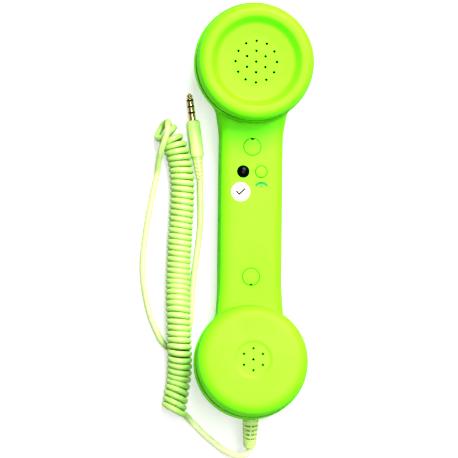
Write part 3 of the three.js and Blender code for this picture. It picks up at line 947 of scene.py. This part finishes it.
def shoulderArc(outer, foot, inner, top, steps=18):
    # squarer than a quarter circle
    angles = np.linspace(0, math.pi / 2, steps + 1)
    across, up = np.abs(np.cos(angles)) ** 0.75, np.abs(np.sin(angles)) ** 0.75
    across[-1] = 0
    return list(zip(inner + (outer - inner) * across, foot + (top - foot) * up))


capFoot = {"gap": 0.07, "inset": 0.02, "rounding": 0.14, "ledge": 2.3}     # alike on both caps


def capBody(name, radius, inside, shoulder, top):
    # the turned cap: its inside, its foot just above the seam, its shoulder and its top
    inside = inside + [(radius - capFoot["ledge"], capFoot["gap"])]
    rim = rounded([
        inside[-1] + (0,), (radius - capFoot["inset"], capFoot["gap"], capFoot["rounding"]), (*shoulder[0], 0),
    ], 4)
    return turned(name, inside + rim[1:-1] + shoulder + top[1:], 192)


def makeEarCap():
    plan, radius = earCapPlan, earCup["capRadius"]
    floor = plan["height"] - plan["dishDepth"]
    shoulder = shoulderArc(radius, plan["shoulderFoot"], plan["crest"], plan["height"])
    top = rounded([
        (*shoulder[-1], 0), (plan["dishEdge"], plan["height"] - 0.25, 2.2), (plan["dishFoot"], floor + 0.1, 2.6),
        (plan["flat"], floor - plan["floorDrop"], 12.0), (0, floor - plan["floorDrop"], 0),
    ], 9)
    inside = [
        (0, floor - plan["floorDrop"] - plan["wall"]), (plan["dishFoot"] - 0.5, floor - plan["wall"]),
        (plan["dishEdge"] + 1, plan["height"] - plan["wall"] - 1), (radius - 3.5, 7.5),
        (radius - 2, plan["shoulderFoot"]),
    ]
    cap = capBody("ear_cap_moulding", radius, inside, shoulder, top)
    perforate(cap, floor - plan["floorDrop"] - 1, {})
    placed(cap, cupMatrix(earCup))
    markSharp(cap.data, 35)
    return dress(cap, looks["shell"], "handset", "shell_lime", "ear_cap")


makeEarCap()


# mouth cap: a low dome with a shallow round recess, one hole and six dimples

mouthCapPlan = {
    "height": 11.6, "flat": 20.5, "shoulderFoot": 4.5, "recess": 9.1, "recessDepth": 0.4, "crown": 0.3,
    "wall": 2.0, "dimpleDepth": 1.6, "dimpleRing": 5.5,
}


def makeMouthCap():
    plan, radius = mouthCapPlan, mouthCup["capRadius"]
    shoulder = shoulderArc(radius, plan["shoulderFoot"], plan["flat"], plan["height"])
    floor = plan["height"] + plan["crown"] - plan["recessDepth"]
    top = rounded([
        (*shoulder[-1], 0), (plan["recess"] + 0.7, plan["height"] + plan["crown"], 1.6),
        (plan["recess"] - 0.9, floor, 1.6), (0, floor, 0),
    ], 5)
    inside = [
        (0, floor - plan["wall"]), (plan["flat"] - 2, plan["height"] - plan["recessDepth"] - plan["wall"]),
        (radius - 3, 7), (radius - 2, plan["shoulderFoot"]),
    ]
    cap = capBody("mouth_cap_moulding", radius, inside, shoulder, top)
    perforate(cap, floor, {"Inner count": 0, "Outer count": 0})
    perforate(cap, floor + 2 - plan["dimpleDepth"], {      # blind dimples, from a bit 4 mm long
        "Centre count": 0, "Outer count": 0, "Inner radius": plan["dimpleRing"] * mm, "Depth": 0.004,
        "Hole radius": 0.00068,
    })
    placed(cap, cupMatrix(mouthCup))
    markSharp(cap.data, 35)
    # dark discs on the dimples' floors: painted shade in the recesses
    foot = floor - plan["dimpleDepth"]
    discs = []
    for k in range(6):
        angle = math.radians(30 + 60 * k)
        disc = turned("disc", [(0, foot + 0.01), (0.64, foot + 0.01), (0.64, foot + 0.06), (0, foot + 0.06)], 24)
        ring = plan["dimpleRing"]
        discs.append(placed(disc, moved(ring * math.cos(angle), ring * math.sin(angle))))
    floors = placed(joinPieces("mouth_dimple_painted_shade", discs), cupMatrix(mouthCup))
    dress(floors, looks["dimplePaintedShade"], "handset", "shell_lime")
    return dress(cap, looks["shell"], "handset", "shell_lime", "mouth_cap")


makeMouthCap()
print("caps made")


# screw covers, buttons, printed icon and label

coverPlan = {"thickness": 1.6, "proud": 0.08, "edge": 0.28, "notchWide": 1.7, "notchDeep": 0.95}


def makeCover(name, side, replaced):
    # a press-in disc with a pry notch at its outer side
    top = handset["gripFaceZ"] + coverPlan["proud"]
    radius, edge = pocketPlan["coverRadius"], coverPlan["edge"]
    outline = rounded([
        (0, top - coverPlan["thickness"], 0), (radius, top - coverPlan["thickness"], 0.2),
        (radius, top, edge), (0, top, 0),
    ], 5)
    cover = turned(name, outline, 128)
    wide, deep = coverPlan["notchWide"] / 2, coverPlan["notchDeep"]
    notch = turned("notch", [(0, top - 2), (wide, top - 2), (wide, top + 1), (0, top + 1)], 48)
    placed(notch, Matrix.Translation((0, (radius + wide - deep) * mm * side, 0)))
    combine(cover, notch, "DIFFERENCE")
    placed(cover, moved(0, side * handset["screwY"]))
    markSharp(cover.data, 35)
    return dress(cover, looks["shell"], "handset", "shell_lime", replaced)


makeCover("upper_cover_disc", 1, "upper_screw_cover")
makeCover("lower_cover_disc", -1, "lower_screw_cover")

buttonPlan = {
    "flange": 3.9, "flangeLow": 21.65, "flangeHigh": 22.5, "callTop": 25.5, "muteTop": 26.3, "muteDome": 1.2,
}


def keyOutline(crown, steps):
    # half a key's section: a flange that stays under the face, then its crown's corners
    radius, flange = pocketPlan["buttonRadius"], buttonPlan["flange"]
    low, high = buttonPlan["flangeLow"], buttonPlan["flangeHigh"]
    return rounded([
        (0, low, 0), (flange, low, 0.15), (flange, high, 0.15), (radius, high, 0.1), *crown,
    ], steps)


def makeKey(name, outline, x, *finish):
    return dress(placed(turned(name, outline, 96, 40), moved(x, handset["buttonY"])), *finish)


def makeCallKey():
    # a flat round key with an eased edge
    radius, top = pocketPlan["buttonRadius"], buttonPlan["callTop"]
    outline = keyOutline([(radius, top - 0.08, 0.45), (0, top, 0)], 6)
    return makeKey("call_key", outline, pocketPlan["buttonSpots"][0],
                   looks["shell"], "call_button", "shell_lime", "call_button")


def makeMuteKey():
    # a round key with a low dome
    radius, top, dome = pocketPlan["buttonRadius"], buttonPlan["muteTop"], buttonPlan["muteDome"]
    crown = [(radius * math.cos(a), top - dome + dome * math.sin(a)) for a in np.linspace(0.0, math.pi / 2, 20)]
    outline = keyOutline([(*crown[0], 0)], 3) + crown[1:-1] + [(0, top)]
    return makeKey("mute_key", outline, pocketPlan["buttonSpots"][1],
                   looks["blackGloss"], "mute_button", "button_black", "mute_button")


makeCallKey()
makeMuteKey()

iconPlan = {"x": 4.9, "y": 14.8, "z": 25.01, "thickness": 0.05}


def arcBand(name, centre, inner, outer, low, high, z, thickness, endRound=0.0, steps=40):
    # a thin flat band bent round a centre, as ink stands on plastic
    points, faces = [], []
    for i in range(steps + 1):
        t = i / steps
        angle = math.radians(low + (high - low) * t)
        ease = 1 - endRound * abs(2 * t - 1) ** 3
        middle, half = (inner + outer) / 2, (outer - inner) / 2 * ease
        for r in (middle - half, middle + half):
            for level in (z, z + thickness):
                across, along = centre[0] + r * math.cos(angle), centre[1] + r * math.sin(angle)
                points.append((across * mm, along * mm, level * mm))
        if i:
            a, b = 4 * (i - 1), 4 * i
            for p, q in ((0, 1), (1, 3), (3, 2), (2, 0)):
                faces.append([a + p, b + p, b + q, a + q])
    faces += [[0, 1, 3, 2], [4 * steps, 4 * steps + 2, 4 * steps + 3, 4 * steps + 1]]
    piece = meshPiece(name, points, faces, smooth=False)
    recalculate(piece)
    return piece


def recalculate(piece):
    bm = bmesh.new()
    bm.from_mesh(piece.data)
    bmesh.ops.recalc_face_normals(bm, faces=bm.faces)
    bm.to_mesh(piece.data)
    bm.free()


def makeIcon():
    # a small generic call sign: a handset arc over a dot
    x, y, z, thick = iconPlan["x"], iconPlan["y"], iconPlan["z"], iconPlan["thickness"]
    arc = arcBand("arc", (x, y - 3.5), 2.85, 4.2, 32, 148, z, thick, endRound=0.35)
    dot = arcBand("dot", (x - 0.1, y - 1.75), 0.0, 0.5, 0, 360, z, thick)
    icon = joinPieces("call_icon_print", [arc, dot])
    return dress(icon, looks["printGreen"], "handset", "shell_lime")


makeIcon()

labelPlan = {"x": -5.75, "y": 10.1, "radius": 4.85, "z": 25.04, "thickness": 0.16}


def makeLabel():
    # a round paper label with a plain tick on it
    plan = labelPlan
    outline = rounded([
        (0, plan["z"], 0), (plan["radius"], plan["z"], 0.0),
        (plan["radius"], plan["z"] + plan["thickness"], 0.06), (0, plan["z"] + plan["thickness"], 0),
    ], 3)
    label = placed(turned("round_label", outline, 128), moved(plan["x"], plan["y"]))
    dress(label, looks["sticker"], "handset", "sticker", "check_sticker")
    top = plan["z"] + plan["thickness"] + 0.01
    strokes = [(-2.0, 0.1), (-0.7, -1.2), (2.1, 1.5)]
    half, thick = 0.42, 0.05
    points, faces = [], []
    for (ax, ay), (bx, by) in zip(strokes, strokes[1:]):
        length = math.hypot(bx - ax, by - ay)
        ux, uy = (bx - ax) / length * half, (by - ay) / length * half
        base = len(points)
        for px, py in ((ax - ux + uy, ay - uy - ux), (bx + ux + uy, by + uy - ux),
                       (bx + ux - uy, by + uy + ux), (ax - ux - uy, ay - uy + ux)):
            for level in (top, top + thick):
                points.append(((plan["x"] + px) * mm, (plan["y"] + py) * mm, level * mm))
        faces += [[base + 1, base + 3, base + 5, base + 7], [base, base + 6, base + 4, base + 2]]
        for k in range(4):
            n = (k + 1) % 4
            faces.append([base + 2 * k, base + 2 * n, base + 2 * n + 1, base + 2 * k + 1])
        thick += 0.004
    tick = meshPiece("label_tick", points, faces, smooth=False)
    recalculate(tick)
    return dress(tick, looks["printGrey"], "handset", "sticker")


makeLabel()
print("covers, keys, icon and label made")


# strain reliefs: tapered sleeves with rows of slots

def slotTree():
    # rows of slot cutters round an axis, each row smaller as the sleeve tapers
    tree, given, end, sockets = newTree("relief_slots", [
        ("Rows", "Int", 4),
        ("Spacing", "Float", 0.00245),
        ("Around", "Int", 6),
        ("First radius", "Float", 0.0040),
        ("Taper", "Float", 0.085),
        ("Slot width", "Float", 0.0031),
        ("Slot depth", "Float", 0.0038),
        ("Slot height", "Float", 0.00092),
    ])
    rise = addNode(tree, "ShaderNodeCombineXYZ", {"Z": given["Spacing"]})
    line = addNode(tree, "GeometryNodeMeshLine", {"Count": given["Rows"], "Offset": rise.outputs["Vector"]})
    circle = addNode(tree, "GeometryNodeMeshCircle", {"Vertices": given["Around"], "Radius": given["First radius"]})

    # shrink each row's ring with its height
    height = tree.nodes.new("GeometryNodeInputPosition")
    split = addNode(tree, "ShaderNodeSeparateXYZ", {"Vector": height.outputs["Position"]})
    slope = addNode(tree, "ShaderNodeMath", {0: split.outputs["Z"], 1: given["Taper"]}, operation="MULTIPLY")
    share = addNode(tree, "ShaderNodeMath", {0: slope.outputs["Value"], 1: given["First radius"]}, operation="DIVIDE")
    keep = addNode(tree, "ShaderNodeMath", {0: 1.0, 1: share.outputs["Value"]}, operation="SUBTRACT")
    rings = addNode(tree, "GeometryNodeInstanceOnPoints", {
        "Points": line.outputs["Mesh"], "Instance": circle.outputs["Mesh"], "Scale": keep.outputs["Value"],
    })
    spots = addNode(tree, "GeometryNodeRealizeInstances", {"Geometry": rings.outputs["Instances"]})

    # a box at each spot, turned to face the axis
    size = addNode(tree, "ShaderNodeCombineXYZ", {
        "X": given["Slot depth"], "Y": given["Slot width"], "Z": given["Slot height"],
    })
    cutter = addNode(tree, "GeometryNodeMeshCube", {"Size": size.outputs["Vector"]})
    where = tree.nodes.new("GeometryNodeInputPosition")
    flat = addNode(tree, "ShaderNodeVectorMath", {
        0: where.outputs["Position"], 1: (1.0, 1.0, 0.0),
    }, operation="MULTIPLY")
    face = addNode(tree, "FunctionNodeAlignRotationToVector", {"Vector": flat.outputs["Vector"]},
                   axis="X", pivot_axis="Z")
    place = addNode(tree, "GeometryNodeInstanceOnPoints", {
        "Points": spots.outputs["Geometry"], "Instance": cutter.outputs["Mesh"], "Rotation": face.outputs["Rotation"],
    })
    finishTree(tree, place.outputs["Instances"], end, looks["cord"])
    return tree, sockets


reliefSlots, reliefSlotSockets = slotTree()

sleevePlan = {"flange": 4.4, "flangeFoot": -7.2, "flangeTop": -5.7, "neck": 3.5, "length": 16.5, "firstRow": 3.1}


def makeSleeve():
    # the handset's strain relief
    plan = sleevePlan
    outline = rounded([
        (0, plan["flangeFoot"], 0), (plan["flange"], plan["flangeFoot"], 0.2),
        (plan["flange"], plan["flangeTop"], 0.2), (plan["neck"], plan["flangeTop"], 0.2),
        (plan["neck"], 1.0, 0.1), (4.1, 1.0, 0.35), (4.0, 4.0, 2.0),
        (3.05, plan["length"] - 0.8, 0.5), (2.3, plan["length"], 0.3), (1.65, plan["length"], 0.1),
        (1.65, plan["length"] - 2, 0), (0, plan["length"] - 2, 0),
    ], 4)
    sleeve = turned("slotted_sleeve", outline, 96)
    slots = growMesh("slots", reliefSlots, reliefSlotSockets, {})
    combine(sleeve, placed(slots, moved(0, 0, plan["firstRow"])), "DIFFERENCE")
    groove = turned("groove", [(2.85, 13.6), (3.8, 13.6), (3.8, 14.1), (2.85, 14.1)], 64)
    combine(sleeve, groove, "DIFFERENCE")
    placed(sleeve, reliefMatrix())
    markSharp(sleeve.data, 35)
    return dress(sleeve, looks["cordPaintedLight"], "handset", "cord_lime", "strain_relief")


sleeve = makeSleeve()


# the headset plug

plugPlan = {
    "x": -31.3, "y": 61.9, "lean": 8.0, "pin": 1.75, "body": 3.6, "segments": 72,
    "bodyTop": -14.1, "bodyFoot": -33.5, "sleeveFoot": -44.6,
}


def plugMatrix():
    turn = Matrix.Rotation(math.radians(plugPlan["lean"]), 4, "Z") @ Matrix.Rotation(-math.pi / 2, 4, "X")
    return Matrix.Translation((plugPlan["x"] * mm, plugPlan["y"] * mm, (plugPlan["body"] + 0.2) * mm)) @ turn


def plugPart(name, outline, material, slotName, replaced, steps=4):
    part = placed(turned(name, rounded(outline, steps), plugPlan["segments"]), plugMatrix())
    markSharp(part.data, 32)
    return dress(part, material, "handset", slotName, replaced)


def makePlug():
    pin = plugPlan["pin"]
    parts = [plugPart("gold_tip", [
        (0, -3.2, 0), (pin, -3.2, 0.05), (pin, -2.75, 0.3), (1.12, -2.15, 0.5), (pin - 0.03, -1.35, 0.6),
        (0.85, -0.3, 0.4), (0.35, 0, 0.2), (0, 0, 0),
    ], looks["gold"], "contact_gold", "plug_tip", 6)]
    for name, top, foot, node in (
        ("gold_first_ring", -3.98, -6.4, "plug_first_ring"),
        ("gold_second_ring", -7.18, -9.6, "plug_second_ring"),
        ("gold_sleeve", -10.38, -14.0, "plug_sleeve"),
    ):
        ring = [(0, foot, 0), (pin, foot, 0.06), (pin, top, 0.06), (0, top, 0)]
        parts.append(plugPart(name, ring, looks["gold"], "contact_gold", node))
    for name, top, foot, node in (
        ("tip_insulator", -3.22, -3.96, "plug_tip_band"),
        ("first_insulator", -6.42, -7.16, "plug_first_band"),
        ("second_insulator", -9.62, -10.36, "plug_second_band"),
    ):
        band = [(0, foot, 0), (pin - 0.05, foot, 0), (pin - 0.05, top, 0), (0, top, 0)]
        parts.append(plugPart(name, band, looks["blackMatt"], "insulator_black", node))
    body, top, foot = plugPlan["body"], plugPlan["bodyTop"], plugPlan["bodyFoot"]
    parts.append(plugPart("moulded_grip", [
        (0, foot, 0), (body - 0.55, foot, 0.4), (body, foot + 1.2, 0.8), (body, top - 1.6, 1.6),
        (body - 0.75, top, 0.5), (2.1, top, 0), (2.1, top - 0.2, 0), (0, top - 0.2, 0),
    ], looks["cordPaintedLight"], "plug_overmould", "plug_body", 7))
    end = plugPlan["sleeveFoot"]
    tail = turned("slotted_tail", rounded([
        (0, end, 0), (1.85, end, 0.3), (2.75, foot - 0.1, 0), (0, foot - 0.1, 0),
    ], 4), plugPlan["segments"])
    slots = growMesh("slots", reliefSlots, reliefSlotSockets, {
        "Rows": 5, "Spacing": 0.00215, "First radius": 0.0020, "Taper": -0.085, "Slot width": 0.0016,
        "Slot depth": 0.0019, "Slot height": 0.00115,
    })
    combine(tail, placed(slots, moved(0, 0, end + 1.2)), "DIFFERENCE")
    placed(tail, plugMatrix())
    markSharp(tail.data, 35)
    parts.append(dress(tail, looks["cordPaintedLight"], "handset", "plug_overmould", "plug_strain_relief"))
    return parts


plugParts = makePlug()
print("strain reliefs and plug made")


# the working parts inside, and their finishes

nodeLooks = {
    "steel": (
        "upper_screw", "lower_screw", "speaker_basket", "speaker_magnet", "microphone",
        "board_screw_left", "board_screw_right", "weight_bar", "cord_crimp",
    ),
    "board": ("button_board",),
    "blackMatt": (
        "call_switch", "mute_switch", "call_switch_plunger", "mute_switch_plunger",
        "speaker_gasket", "microphone_boot", "speaker_wire", "microphone_wire",
    ),
    "cone": ("speaker_cone",),
    "cloth": ("ear_dust_cloth", "mouth_dust_cloth"),
    "cord": ("cord_tail",),
}


def dressNodes():
    for look, names in nodeLooks.items():
        for name in names:
            mesh = bpy.data.objects[name].data
            mesh.materials.clear()
            mesh.materials.append(looks[look])


dressNodes()
print("inner parts dressed")


# the surface it lies on, and the light

stagePlan = {
    "floorSize": 3.0,
    "floorDrop": 0.04 * mm,     # keeps the floor clear of the flat that rests on it
    "key": {
        "from": (0.22, 0.53, 0.82), "distance": 1.7, "size": 1.05, "watts": 58.0, "colour": (1.0, 0.99, 0.97),
    },
    "top": {
        "from": (0.10, -0.02, 1.0), "distance": 1.9, "size": 1.0, "watts": 24.0, "colour": (1.0, 1.0, 1.0),
    },
    "room": (1.0, 1.0, 1.0),
    "roomStrength": 0.39,
    "gamma": 0.62,          # a contrasty print
}


def makeFloor():
    half, low = stagePlan["floorSize"] / 2, -stagePlan["floorDrop"]
    corners = [(-half, -half, low), (half, -half, low), (half, half, low), (-half, half, low)]
    floor = meshPiece("sweep", corners, [[0, 1, 2, 3]])
    floor.data.materials.append(looks["floor"])


def makeLamp(name, plan):
    data = bpy.data.lights.new(name, "AREA")
    data.shape = "DISK"
    data.size = plan["size"]
    data.energy = plan["watts"]
    data.color = plan["colour"]
    lamp = bpy.data.objects.new(name, data)
    bpy.context.scene.collection.objects.link(lamp)
    aim = Vector(plan["from"]).normalized()
    lamp.location = aim * plan["distance"]
    lamp.rotation_mode = "QUATERNION"
    lamp.rotation_quaternion = aim.to_track_quat("Z", "Y")


def makeRoom():
    world = bpy.data.worlds.new("room")
    world.use_nodes = True
    back = world.node_tree.nodes["Background"]
    back.inputs["Color"].default_value = (*stagePlan["room"], 1.0)
    back.inputs["Strength"].default_value = stagePlan["roomStrength"]
    bpy.context.scene.world = world


makeFloor()
makeLamp("key", stagePlan["key"])
makeLamp("top", stagePlan["top"])
makeRoom()
bpy.context.scene.view_settings.view_transform = "Standard"
bpy.context.scene.view_settings.gamma = stagePlan["gamma"]
print("floor and light made")
